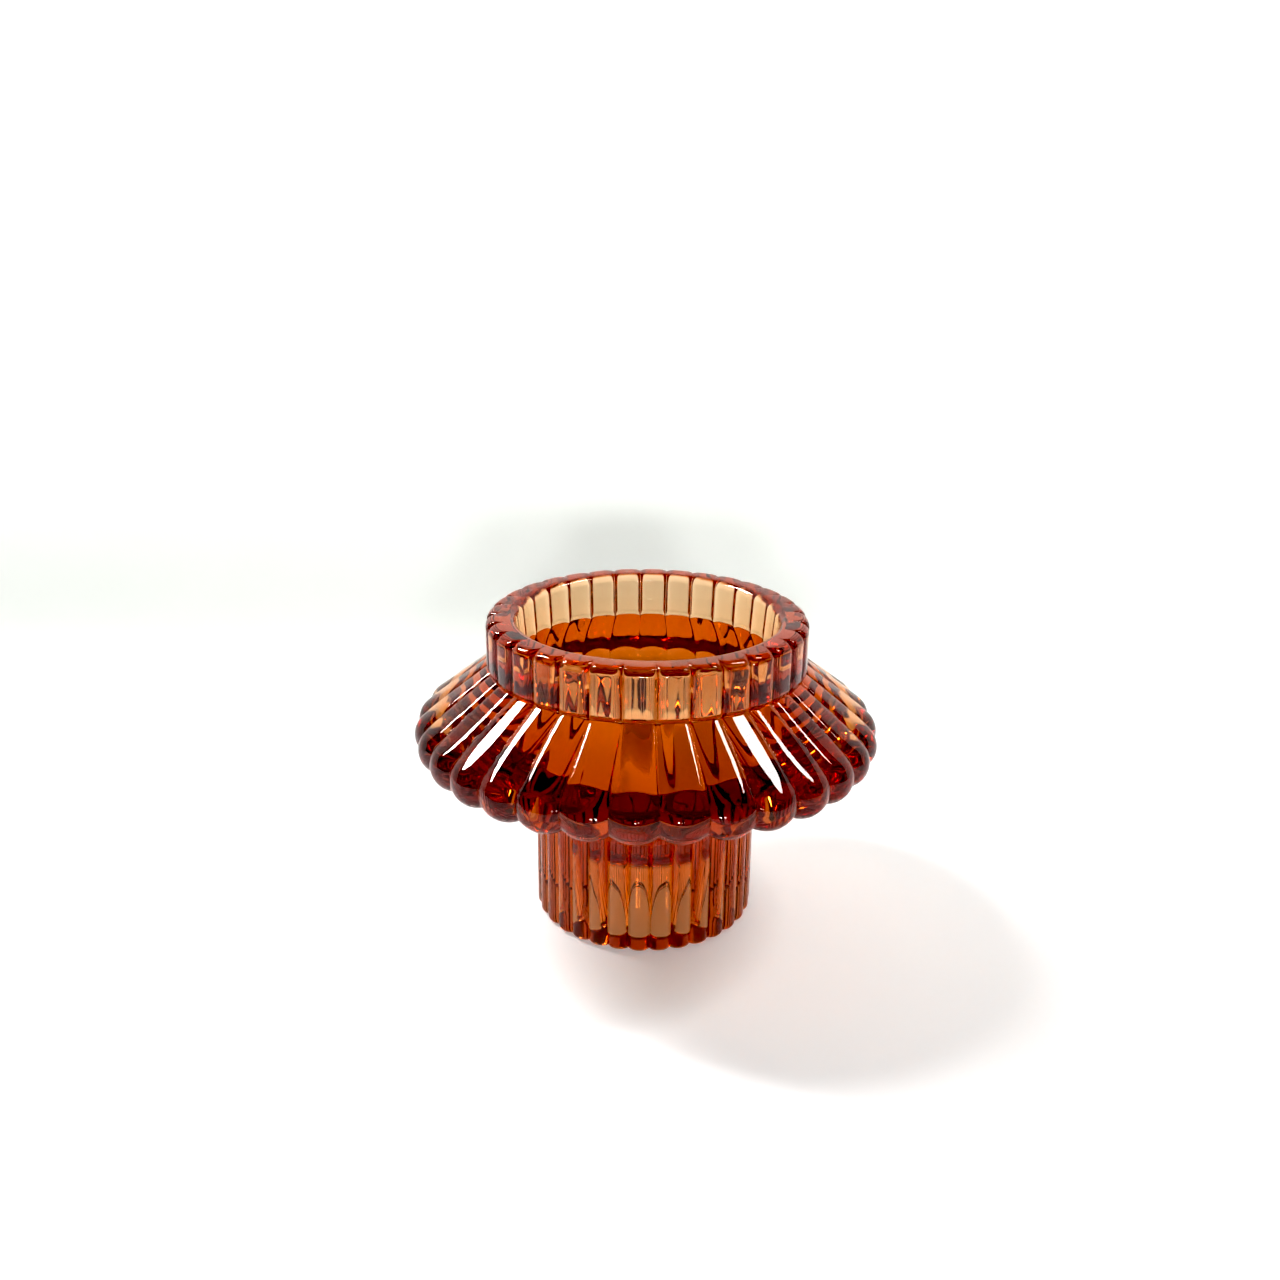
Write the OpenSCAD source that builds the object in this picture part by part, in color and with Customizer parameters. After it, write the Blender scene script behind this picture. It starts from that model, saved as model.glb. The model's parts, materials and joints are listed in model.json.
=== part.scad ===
// Reversible candle holder, pressed in one piece of ribbed amber glass.
// Right way up, the wide well takes a tealight. Upside down, it stands on its rim
// and the socket in the foot takes a dinner candle.
// Millimetres, +Z up, origin at the centre of the foot's base.

/* [Overall] */
// Full height, from the base of the foot to the top of the rim
height = 54.6; // [52:0.2:60]
// Diameter across the tips of the skirt's ribs
skirt_d = 80; // [78:0.5:84]
// Number of ribs round the collar, the skirt and the foot
rib_count = 32; // [30:2:34]

/* [Collar and well] */
// Diameter over the collar's ribs
collar_d = 54.8; // [54:0.2:56]
// Depth of the grooves between the collar's ribs
collar_groove = 0.55; // [0.4:0.05:0.7]
// Radius that rounds the outer edge of the rim
rim_round = 1.6; // [1:0.1:2]
// Diameter of the well, with room for a tealight cup of 38 mm
well_d = 44.3; // [42:0.1:45]
// Depth of the well below the rim
well_depth = 29; // [20:0.5:30]

/* [Skirt] */
// Slope of the skirt's upper side below level, in degrees
skirt_slope = 37; // [35:0.5:39]
// Radius of the ball-shaped tips of the skirt's ribs
tip_r = 3.5; // [3.3:0.05:3.55]
// Radius of the skirt's ribs where they leave the collar
root_r = 2.35; // [2.2:0.05:2.4]
// Height of the skirt's underside above the base, at the ribs' tips
underside_z = 30.5; // [29:0.5:32]
// How much lower the underside is where it meets the foot
underside_drop = 8.5; // [6:0.5:9]

/* [Foot and socket] */
// Diameter over the foot's ribs
foot_d = 38.6; // [37:0.2:40]
// Depth of the grooves between the foot's ribs
foot_groove = 0.5; // [0.4:0.05:0.7]
// Radius that rounds the foot's bottom edge
foot_round = 1; // [0.6:0.1:1.4]
// Diameter of the socket, with room for a dinner candle of 22 mm
socket_d = 22.4; // [22.2:0.1:23]
// Depth of the socket
socket_depth = 13; // [12:0.5:16]

/* [Hidden] */
$fn = 96;
bleed = 1;                                 // how far one solid runs into the next
rib_turn = 360 / rib_count;
first_rib = -90 - 2.3;                     // a rib faces the front, a little to the left
tip_drop = 0.5;                            // how far the tips hang below the underside
tip_z = underside_z + tip_r - tip_drop;
tip_ring_r = skirt_d / 2 - tip_r;          // ring that the tips' middles stand on
root_ring_r = collar_d / 2 - 2.7;          // the ribs start inside the collar's wall
taper = tip_r - root_r;
rib_run = tip_ring_r - root_ring_r;
rib_drop = (rib_run + taper * sin(skirt_slope)) * tan(skirt_slope) + taper * cos(skirt_slope);
rib_len = sqrt(rib_run * rib_run + rib_drop * rib_drop);
rib_tilt = 180 - atan2(rib_run, rib_drop); // from straight up to down and outwards
root_z = tip_z + rib_drop;
groove_rise = 0.8;                         // height of the grooves' floor above the ribs' middle lines
web_r = tip_ring_r + tip_r / 2;            // how far out the glass between the tips reaches
foot_top = underside_z - underside_drop;   // where the foot meets the skirt's underside
neck_z = root_z + root_r;                  // a plain neck below this height meets the skirt

// Radius of the arc that spans a chord with a given rise
function arc_r(chord, rise) = (chord * chord / 4 + rise * rise) / (2 * rise);

// Flat outline of a ring of round ribs, crests at r, with grooves of a given depth
module ribbed_disc(r, groove) {
    lobe_r = arc_r(2 * (r - groove) * sin(rib_turn / 2), groove);
    circle(r - groove * 2);
    for (i = [0 : rib_count - 1])
        rotate(first_rib + i * rib_turn)
            translate([r - lobe_r, 0]) circle(lobe_r);
}

// Upright cylinder between two heights
module cylinder_from(z0, z1, r) {
    translate([0, 0, z0]) cylinder(h = z1 - z0, r = r);
}

// Collar: vertical ribs over a plain neck, rounded off all round at the rim
module collar() {
    cylinder_from(underside_z + bleed, neck_z + bleed, collar_d / 2 - collar_groove);
    intersection() {
        translate([0, 0, neck_z]) linear_extrude(height - neck_z) ribbed_disc(collar_d / 2, collar_groove);
        rotate_extrude() {
            square([collar_d / 2 + 1, height - rim_round]);
            square([collar_d / 2 - rim_round, height]);
            translate([collar_d / 2 - rim_round, height - rim_round]) circle(rim_round);
        }
    }
}

// One skirt rib: a round finger, thicker towards its ball-shaped tip, turned in one piece
module skirt_rib() {
    translate([root_ring_r, 0, root_z]) rotate([0, rib_tilt, 0])
        rotate_extrude() polygon(concat([[0, 0], [root_r, 0]],
            [for (a = [0 : 10 : 80]) [tip_r * cos(a), rib_len + tip_r * sin(a)]], [[0, rib_len + tip_r]]));
}

// Skirt: separate fingers side by side on a solid core, which fills the grooves between them
module skirt() {
    rotate_extrude()
        polygon([[0, foot_top], [foot_d / 2 + 1.5, foot_top], [tip_ring_r - tip_r - 1, underside_z],
                 [tip_ring_r - 0.6, underside_z], [web_r, underside_z + 2.2],
                 [web_r, tip_z - 0.7], [root_ring_r, root_z + groove_rise], [0, root_z + groove_rise]]);
    for (i = [0 : rib_count - 1]) rotate(first_rib + i * rib_turn) skirt_rib();
}

// Foot: vertical ribs down to the table, with a rounded bottom edge
module foot() {
    intersection() {
        linear_extrude(foot_top + bleed) ribbed_disc(foot_d / 2, foot_groove);
        rotate_extrude() {
            translate([0, foot_round]) square([foot_d / 2 + 1, foot_top + bleed]);
            square([foot_d / 2 - foot_round, foot_top]);
            translate([foot_d / 2 - foot_round, foot_round]) circle(foot_round);
        }
    }
}

// The whole holder, one piece of glass
module glass_holder() {
    color("sienna") difference() {
        union() {
            collar();
            skirt();
            foot();
        }
        translate([0, 0, height - well_depth]) cylinder(h = well_depth + bleed, d = well_d);
        translate([0, 0, -bleed]) cylinder(h = socket_depth + bleed, d = socket_d);
    }
}

glass_holder();
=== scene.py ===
"""Reversible tealight holder in ribbed amber glass: one pressed glass body on a pale paper sweep."""
import json
import math

import bpy
import numpy as np
from mathutils import Matrix, Vector


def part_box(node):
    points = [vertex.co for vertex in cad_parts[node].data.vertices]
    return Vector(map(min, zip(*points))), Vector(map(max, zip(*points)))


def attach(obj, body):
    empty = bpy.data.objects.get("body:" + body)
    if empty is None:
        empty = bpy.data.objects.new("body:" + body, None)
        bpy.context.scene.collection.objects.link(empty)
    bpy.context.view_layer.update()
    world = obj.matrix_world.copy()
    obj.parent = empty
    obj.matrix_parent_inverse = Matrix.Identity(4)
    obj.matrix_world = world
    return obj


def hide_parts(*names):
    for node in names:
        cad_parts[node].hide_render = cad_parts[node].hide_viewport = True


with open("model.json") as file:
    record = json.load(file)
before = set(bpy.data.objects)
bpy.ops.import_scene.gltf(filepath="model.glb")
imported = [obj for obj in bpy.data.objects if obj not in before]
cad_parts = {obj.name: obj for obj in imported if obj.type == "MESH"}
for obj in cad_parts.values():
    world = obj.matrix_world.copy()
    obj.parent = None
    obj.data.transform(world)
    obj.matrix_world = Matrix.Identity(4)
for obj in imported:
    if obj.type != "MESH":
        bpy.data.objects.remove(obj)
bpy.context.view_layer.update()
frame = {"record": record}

MM = 0.001                # metres in a millimetre: the glass is worked out in millimetres

# ---- The holder's driving dimensions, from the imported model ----
NODE = "glass_holder"
low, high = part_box(NODE)
MOUNTS = {m["name"]: m["dims"] for m in frame["record"]["mounts"]}
HEIGHT = high.z / MM
SKIRT_R = (high.y - low.y) / 2 / MM
WELL_R = MOUNTS["tealight_well"]["r_mm"]
WELL_DEPTH = MOUNTS["tealight_well"]["length_mm"]
SOCKET_R = MOUNTS["candle_socket"]["r_mm"]
SOCKET_DEPTH = MOUNTS["candle_socket"]["length_mm"]

# ---- Dimensions that are the same as in the CAD ----
RIBS = 32
FIRST_RIB = -90 - 2.3     # degrees: a rib faces the front, a little to the left
COLLAR_R = 27.4           # over the collar's ribs
RIM_ROUND = 1.6
SKIRT_SLOPE = 37          # degrees below level, along a rib's crest
FOOT_R = 19.3             # over the foot's ribs
FOOT_ROUND = 1.0

# ---- Finer shapes than the CAD's ----
COLLAR_GROOVE = 0.9       # depth of the grooves between the collar's ribs
GROOVE_ROUND = 1.92       # rounds the grooves at the rim, a little more than the ribs
JOIN = 0.1                # height between the collar's last ring and the skirt's first
SKIRT_GROOVE = (0.5, 0.8)  # depth of the skirt's grooves, at the collar and above the tips
TIP_GROOVE = 1.2          # their depth round the tips
TIP_TURN = 50             # degrees round a tip in which the grooves reach that depth
TIP_R = 3.9               # rounds the tips of the skirt's ribs, from above to below
TIP_Z = 34.1              # height of the tips' middles
UNDERSIDE = ((31.0, 30.2), (20.5, 22.0))  # radius and height where the underside bends
UNDER_GROOVE = 1.0        # depth of the grooves under the skirt
FOOT_GROOVE = 0.9
COVE_R = 1.2              # rounds the corner between the underside and the foot
WELL_TAPER = 3.1          # how much smaller the well's radius is at the floor than at the rim
WELL_FILLET = 1.0         # between the well's wall and floor
SOCKET_EDGE = 0.8         # rounds the socket's mouth
SOCKET_TAPER = 2.5        # the socket narrows upwards, to grip a candle
SOCKET_FILLET = 1.5       # between the socket's wall and its end
FOOT_RING = 2.5           # how far the flat under the foot starts inside the foot's ribs
HUB_R = 0.5               # the last ring before a mesh closes at the axis

# ---- Rib shapes: round at 2, and above that flatter with steeper grooves ----
COLLAR_FLAT = 5
SKIRT_FLAT = 5            # where the skirt leaves the collar
TIP_FLAT = 2
FOOT_FLAT = 2.5

STEPS = 16                # faces across one rib

# ---- Glass ----
IOR = 1.5
TINT = (0.863, 0.56, 0.16, 1)
DENSITY = 215             # absorption per metre

# ---- Paper sweep, in metres ----
SWEEP_HALF = 1.5          # half its width, and how far it reaches to the front
BEND_RINGS = 32
WALL_Y = 0.165
WALL_TOP = 0.26           # low, so that the left window shines over it
BEND = 0.04               # radius of the curve between floor and wall
SHADE_FROM = 0.08         # the floor's colour turns into the wall's between these two
SHADE_TO = 0.145
FLOOR_GAP = 0.0002        # air that lets light in below the foot
FLOOR_COLOUR = (0.86, 0.86, 0.86, 1)
WALL_COLOUR = (0.86, 0.88, 0.85, 1)
PAPER_GLOW = 0.36
PAPER_ROUGHNESS = 0.9
PAPER_SPECULAR = 0.1

# ---- Lights, in metres and watts ----
WORLD_COLOUR = (1.0, 0.98, 0.95, 1)
WORLD_STRENGTH = 0.1
AIM = (0, 0, 0.03)        # every light is turned to the holder's middle
LEFT_AT = (-0.67, 0.31, 0.75)
LEFT_SIZE = (0.15, 0.4)
LEFT_POWER = 11
RIGHT_AT = (0.584, 0.123, 0.87)
RIGHT_SIZE = (0.14, 0.4)
RIGHT_POWER = 4
LAMP_XS = (-0.05, 0.22)
LAMP_Y = -1.5
LAMP_Z = 0.3
LAMP_SIZE = (0.12, 0.12)
LAMP_POWER = 4

# ---- Camera, in metres and radians ----
CAMERA_AT = (0, -0.2058, 0.12285)
LOOK_DOWN = 0.342
LOOK_RIGHT = -0.006
ROLL = 0.012
SENSOR = 36               # millimetres
LENS = 35.93              # millimetres

# ---- Picture ----
BLACK = 0.03              # everything at or below this is black
GAMMA = 0.85
BOUNCES = 40              # light crosses many ribs before it leaves the glass


def arc(centre, radius, start, end, count):
    """Points on an arc in the radius and height plane, angles in degrees from outwards to up."""
    angles = np.radians(np.linspace(start, end, count))
    return [(centre[0] + radius * math.cos(a), centre[1] + radius * math.sin(a)) for a in angles]


def line(start, end, count):
    """Points from start to end, both included."""
    return [tuple(p) for p in np.linspace(start, end, count)]


class Row:
    """One ring of the glass: where its rib crests and its grooves lie, and how round the ribs are."""

    def __init__(self, crest, groove=None, flatness=2.0):
        self.crest = np.array(crest, float)
        self.groove = np.array(crest if groove is None else groove, float)
        self.flatness = flatness


def plain(points):
    """Rings with no ribs."""
    return [Row(p) for p in points]


def ribbed(crests, grooves, flatness):
    """Rings with ribs, from matching points along a crest and along a groove."""
    return [Row(c, g, flatness) for c, g in zip(crests, grooves)]


def well_rows():
    """The well, from the middle of its floor up its tapered wall and over to the rim's top."""
    floor_z = HEIGHT - WELL_DEPTH
    floor_r = WELL_R - WELL_TAPER
    flat_r, wall_z = floor_r - WELL_FILLET, floor_z + WELL_FILLET
    rim_z = HEIGHT - RIM_ROUND
    rows = plain(line((HUB_R, floor_z), (flat_r, floor_z), 10))
    rows += plain(arc((flat_r, wall_z), WELL_FILLET, -90, 0, 8)[1:])
    rows += plain(line((floor_r, wall_z), (WELL_R, rim_z), 16)[1:])
    return rows + plain(arc((WELL_R + RIM_ROUND, rim_z), RIM_ROUND, 180, 90, 9)[1:])


def collar_rows(skirt_start):
    """The collar's ribs, rounded off at the rim and upright down to the skirt."""
    rim_z = HEIGHT - RIM_ROUND
    groove_r = COLLAR_R - COLLAR_GROOVE
    groove_z = HEIGHT - GROOVE_ROUND
    rows = ribbed(arc((COLLAR_R - RIM_ROUND, rim_z), RIM_ROUND, 90, 0, 10),
                  arc((groove_r - GROOVE_ROUND, groove_z), GROOVE_ROUND, 90, 0, 10), COLLAR_FLAT)
    crests = line((COLLAR_R, rim_z), (COLLAR_R, skirt_start.crest[1] + JOIN), 12)
    grooves = line((groove_r, groove_z), (groove_r, skirt_start.groove[1] + JOIN), 12)
    return rows + ribbed(crests[1:], grooves[1:], COLLAR_FLAT)


def skirt_rows():
    """The skirt's ribs from the collar out to the tips, round them and in below."""
    slope = math.radians(SKIRT_SLOPE)
    along = np.array([math.cos(slope), -math.sin(slope)])
    out = np.array([math.sin(slope), math.cos(slope)])
    tip = np.array([SKIRT_R - TIP_R, TIP_Z])
    end = tip + TIP_R * out
    start = end - (end[0] - COLLAR_R + SKIRT_GROOVE[0]) / along[0] * along
    rows = []
    for t in np.linspace(0, 1, 40):
        crest = start + (end - start) * t
        depth = SKIRT_GROOVE[0] + (SKIRT_GROOVE[1] - SKIRT_GROOVE[0]) * t ** 4
        groove = crest - depth * out
        if groove[0] >= COLLAR_R - COLLAR_GROOVE:   # those nearer the axis are inside the collar
            rows.append(Row(crest, groove, SKIRT_FLAT + (TIP_FLAT - SKIRT_FLAT) * t ** 3))
    for angle in np.linspace(90 - SKIRT_SLOPE, -90, 30)[1:]:
        way = np.array([math.cos(math.radians(angle)), math.sin(math.radians(angle))])
        turned = min(1, (90 - SKIRT_SLOPE - angle) / TIP_TURN)
        depth = SKIRT_GROOVE[1] + (TIP_GROOVE - SKIRT_GROOVE[1]) * turned
        rows.append(Row(tip + TIP_R * way, tip + (TIP_R - depth) * way, TIP_FLAT))
    return rows


def underside_rows(skirt_end):
    """Ribs under the skirt, in from the tips to the top of the foot."""
    cove = arc((FOOT_R + COVE_R, UNDERSIDE[-1][1] - COVE_R), COVE_R, 90, 180, 5)
    path = np.array([tuple(skirt_end.crest), *UNDERSIDE, *cove[1:]])
    length = np.append(0, np.cumsum(np.hypot(*np.diff(path, axis=0).T)))
    rows = []
    for u in np.linspace(0, 1, 34)[1:]:
        crest = np.array([np.interp(u * length[-1], length, path[:, i]) for i in (0, 1)])
        depth = UNDER_GROOVE * (1 - u) + FOOT_GROOVE * u
        inward = np.array([-math.sin(u * math.pi / 2), math.cos(u * math.pi / 2)])
        rows.append(Row(crest, crest + depth * inward, TIP_FLAT + (FOOT_FLAT - TIP_FLAT) * u))
    return rows


def foot_rows():
    """The foot's upright ribs, its rounded bottom edge and the flat ring that it stands on."""
    top = UNDERSIDE[-1][1] - COVE_R
    groove_r = FOOT_R - FOOT_GROOVE
    crests = line((FOOT_R, top), (FOOT_R, FOOT_ROUND), 28)[1:]
    grooves = line((groove_r, top), (groove_r, FOOT_ROUND), 28)[1:]
    crests += arc((FOOT_R - FOOT_ROUND, FOOT_ROUND), FOOT_ROUND, 0, -90, 8)[1:]
    grooves += arc((groove_r - FOOT_ROUND, FOOT_ROUND), FOOT_ROUND, 0, -90, 8)[1:]
    rows = ribbed(crests, grooves, FOOT_FLAT)
    return rows + plain(line((FOOT_R - FOOT_RING, 0), (SOCKET_R + SOCKET_EDGE, 0), 5))


def socket_rows():
    """The socket, from its rounded mouth up its tapered wall to the middle of its end."""
    end_r = SOCKET_R - SOCKET_TAPER
    flat_r, wall_z = end_r - SOCKET_FILLET, SOCKET_DEPTH - SOCKET_FILLET
    rows = plain(arc((SOCKET_R + SOCKET_EDGE, SOCKET_EDGE), SOCKET_EDGE, -90, -180, 6)[1:])
    rows += plain(line((SOCKET_R, SOCKET_EDGE), (end_r, wall_z), 16)[1:])
    rows += plain(arc((flat_r, wall_z), SOCKET_FILLET, 0, 90, 7)[1:])
    return rows + plain(line((flat_r, SOCKET_DEPTH), (HUB_R, SOCKET_DEPTH), 6)[1:])


def profile():
    """Every ring from the middle of the well's floor over the rim, skirt and foot to the socket's end."""
    skirt = skirt_rows()
    return (well_rows() + collar_rows(skirt[0]) + skirt + underside_rows(skirt[-1])
            + foot_rows() + socket_rows())


def glass_mesh():
    """Closed mesh of the whole holder: one loop of points for each ring, and a point at either end."""
    rows = profile()
    columns = RIBS * STEPS
    # where each point is across its rib, from -1 to 1, with more points near the grooves
    across = np.tile(-np.cos(np.pi * np.arange(STEPS) / STEPS), RIBS)
    rib = np.repeat(np.arange(RIBS), STEPS)
    angle = np.radians(FIRST_RIB + (rib + across / 2) * 360 / RIBS)
    rings = []
    for row in rows:
        height = 1 - np.abs(across[:, None]) ** row.flatness
        point = row.groove + (row.crest - row.groove) * height
        rings.append(np.stack([point[:, 0] * np.cos(angle), point[:, 0] * np.sin(angle), point[:, 1]], 1))
    ends = [[0, 0, row.crest[1]] for row in (rows[0], rows[-1])]
    verts = np.concatenate([*rings, ends]) * MM

    beside = [(c + 1) % columns for c in range(columns)]
    faces = []
    for ring in range(len(rows) - 1):
        here, after = ring * columns, (ring + 1) * columns
        faces += [(after + c, after + d, here + d, here + c) for c, d in enumerate(beside)]
    first, last = len(verts) - 2, len(verts) - 1
    end_ring = (len(rows) - 1) * columns
    for c, d in enumerate(beside):
        faces.append((c, d, first))
        faces.append((end_ring + d, end_ring + c, last))

    mesh = bpy.data.meshes.new("amber_glass_body")
    mesh.from_pydata(verts.tolist(), [], faces)
    mesh.update()
    mesh.shade_smooth()
    return mesh


def amber_glass():
    """Clear glass that gets redder and darker with depth."""
    material = bpy.data.materials.new("amber_glass")
    material.use_nodes = True
    nodes, links = material.node_tree.nodes, material.node_tree.links
    shader = nodes["Principled BSDF"]
    shader.inputs["Base Color"].default_value = (1, 1, 1, 1)
    shader.inputs["Roughness"].default_value = 0.0
    shader.inputs["IOR"].default_value = IOR
    shader.inputs["Transmission Weight"].default_value = 1.0
    volume = nodes.new("ShaderNodeVolumeAbsorption")
    volume.inputs["Color"].default_value = TINT
    volume.inputs["Density"].default_value = DENSITY
    links.new(volume.outputs["Volume"], nodes["Material Output"].inputs["Volume"])
    return material


def paper():
    """Matt paper in the mesh's own colours, lit a little from within so that it stays nearly white."""
    material = bpy.data.materials.new("white_paper")
    material.use_nodes = True
    nodes, links = material.node_tree.nodes, material.node_tree.links
    shader = nodes["Principled BSDF"]
    shade = nodes.new("ShaderNodeAttribute")
    shade.attribute_name = "shade"
    links.new(shade.outputs["Color"], shader.inputs["Base Color"])
    links.new(shade.outputs["Color"], shader.inputs["Emission Color"])
    shader.inputs["Emission Strength"].default_value = PAPER_GLOW
    shader.inputs["Roughness"].default_value = PAPER_ROUGHNESS
    shader.inputs["Specular IOR Level"].default_value = PAPER_SPECULAR
    return material


def sweep():
    """Paper that lies flat, then curves up into a low wall behind the holder."""
    points = [(y, -FLOOR_GAP) for y in (-SWEEP_HALF, 0, SHADE_FROM)]
    points += [(WALL_Y - BEND + BEND * math.sin(a), -FLOOR_GAP + BEND - BEND * math.cos(a))
               for a in np.linspace(0, math.pi / 2, BEND_RINGS)]
    points += [(WALL_Y, WALL_TOP)]
    verts = [(x, y, z) for y, z in points for x in (-SWEEP_HALF, SWEEP_HALF)]
    faces = [(2 * i, 2 * i + 1, 2 * i + 3, 2 * i + 2) for i in range(len(points) - 1)]
    mesh = bpy.data.meshes.new("paper_sweep")
    mesh.from_pydata(verts, [], faces)
    mesh.shade_smooth()
    shade = mesh.attributes.new("shade", "FLOAT_COLOR", "POINT")
    for point, (_, y, _) in zip(shade.data, verts):
        t = min(1, max(0, (y - SHADE_FROM) / (SHADE_TO - SHADE_FROM)))
        mix = t * t * (3 - 2 * t)
        point.color = [f + (w - f) * mix for f, w in zip(FLOOR_COLOUR, WALL_COLOUR)]
    mesh.materials.append(paper())
    sweep_object = bpy.data.objects.new("paper_sweep", mesh)
    bpy.context.scene.collection.objects.link(sweep_object)


def area_light(name, place, size, power):
    """A soft rectangular light at place, turned to the holder."""
    data = bpy.data.lights.new(name, "AREA")
    data.shape = "RECTANGLE"
    data.size, data.size_y = size
    data.energy = power
    light = bpy.data.objects.new(name, data)
    light.location = place
    light.rotation_euler = (Vector(AIM) - Vector(place)).to_track_quat("-Z", "Y").to_euler()
    bpy.context.scene.collection.objects.link(light)


def lights():
    """A dim room, two windows behind the holder and two lamps in front of it."""
    world = bpy.data.worlds.new("room")
    bpy.context.scene.world = world
    world.use_nodes = True
    background = world.node_tree.nodes["Background"]
    background.inputs["Color"].default_value = WORLD_COLOUR
    background.inputs["Strength"].default_value = WORLD_STRENGTH
    area_light("left_window", LEFT_AT, LEFT_SIZE, LEFT_POWER)
    area_light("right_window", RIGHT_AT, RIGHT_SIZE, RIGHT_POWER)
    for x in LAMP_XS:
        area_light("lamp", (x, LAMP_Y, LAMP_Z), LAMP_SIZE, LAMP_POWER)


def camera():
    """In front of the holder, looking down at it."""
    data = bpy.data.cameras.new("camera")
    data.sensor_width = SENSOR
    data.lens = LENS
    cam = bpy.data.objects.new("camera", data)
    look = Matrix.Rotation(-LOOK_RIGHT, 4, "Z") @ Matrix.Rotation(math.pi / 2 - LOOK_DOWN, 4, "X")
    cam.matrix_world = Matrix.Translation(CAMERA_AT) @ look @ Matrix.Rotation(ROLL, 4, "Z")
    bpy.context.scene.collection.objects.link(cam)
    bpy.context.scene.camera = cam


def picture():
    """Plain colours with deep blacks, and enough bounces for light to get through the ribs."""
    scene = bpy.context.scene
    view = scene.view_settings
    view.view_transform = "Standard"
    view.use_curve_mapping = True
    view.curve_mapping.black_level = (BLACK, BLACK, BLACK)
    view.curve_mapping.update()
    view.gamma = GAMMA
    scene.cycles.max_bounces = BOUNCES
    scene.cycles.transmission_bounces = BOUNCES
    scene.cycles.glossy_bounces = BOUNCES
    scene.cycles.volume_bounces = 0


camera()
lights()
sweep()

# ---- The glass body takes the place of the CAD's one node ----
body = bpy.data.objects.new("amber_glass_body", glass_mesh())
bpy.context.scene.collection.objects.link(body)
body.data.materials.append(amber_glass())
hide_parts(NODE)
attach(body, "root")

picture()
